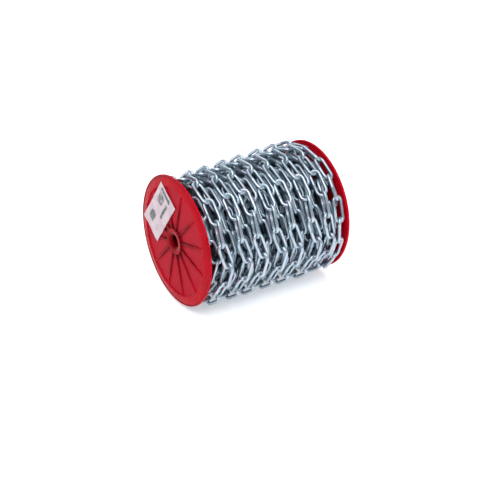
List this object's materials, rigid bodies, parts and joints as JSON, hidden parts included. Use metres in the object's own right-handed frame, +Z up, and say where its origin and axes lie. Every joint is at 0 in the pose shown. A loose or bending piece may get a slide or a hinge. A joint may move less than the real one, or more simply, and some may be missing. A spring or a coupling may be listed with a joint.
{
  "type": "reel of steel chain",
  "caption": "Red plastic reel wound full with bright zinc-plated straight-link steel chain, lying on its side, with a bare white label on one flange.",
  "frame": {"origin": "on the floor under the middle of the reel, which lies on its side", "axes": "+X along the reel's axis, from the labelled flange to the plain one; +Y towards the back, away from the viewer; +Z up"},
  "size_m": [0.2362, 0.1984, 0.1996],
  "materials": {
    "red_plastic": "moulded, glossy",
    "label_paper": "coated paper, smudged print",
    "zinc_plated_steel": "bright zinc plate over drawn and welded wire"
  },
  "bodies": {
    "root": {"flange_near": "red_plastic", "flange_far": "red_plastic", "barrel": "red_plastic", "label": "label_paper", "chain_core": "zinc_plated_steel", "chain_turn_1": "zinc_plated_steel", "chain_turn_2": "zinc_plated_steel", "chain_turn_3": "zinc_plated_steel", "chain_turn_4": "zinc_plated_steel", "chain_turn_5": "zinc_plated_steel", "chain_turn_6": "zinc_plated_steel", "chain_turn_7": "zinc_plated_steel", "chain_turn_8": "zinc_plated_steel", "chain_under_1": "zinc_plated_steel", "chain_under_2": "zinc_plated_steel", "chain_under_3": "zinc_plated_steel", "chain_under_4": "zinc_plated_steel", "chain_under_5": "zinc_plated_steel", "chain_under_6": "zinc_plated_steel"}
  },
  "joints": []
}
